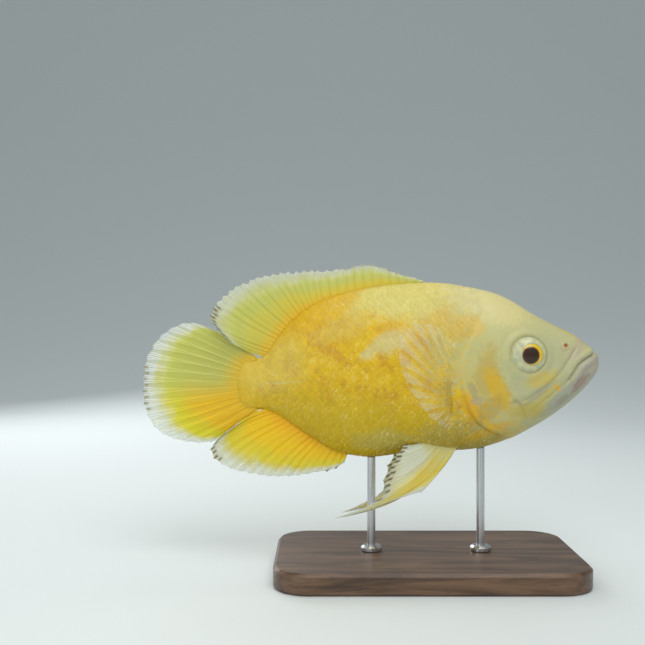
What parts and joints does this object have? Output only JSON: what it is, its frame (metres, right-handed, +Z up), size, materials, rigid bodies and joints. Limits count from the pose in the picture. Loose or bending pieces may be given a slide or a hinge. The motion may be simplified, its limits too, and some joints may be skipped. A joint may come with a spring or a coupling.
{
  "type": "oscar fish",
  "caption": "Life-size yellow oscar fish in a swimming pose with its fins spread, held over a flat base by slim rods.",
  "frame": {"origin": "centre of the stand base's underside, on the floor", "axes": "+X towards the fish's head, +Y to the fish's left, +Z up; the right flank faces -Y"},
  "size_m": [0.2018, 0.0778, 0.1352],
  "materials": {
    "skin": "wet scaled skin, satin",
    "pale_skin": "wet bare skin, satin",
    "fin": "thin ribbed membrane",
    "eye": "polished",
    "base": "dark satin lacquer",
    "rod": "brushed"
  },
  "bodies": {
    "root": {"head": "pale_skin", "lower_jaw": "pale_skin", "gill_cover_left": "pale_skin", "gill_cover_right": "pale_skin", "eye_left": "eye", "eye_right": "eye", "trunk": "skin", "tail_stalk": "skin", "dorsal_fin": "fin", "anal_fin": "fin", "tail_fin": "fin", "pectoral_fin_left": "fin", "pectoral_fin_right": "fin", "pelvic_fin_left": "fin", "pelvic_fin_right": "fin", "stand_base": "base", "stand_rod_front": "rod", "stand_rod_rear": "rod"}
  },
  "joints": []
}
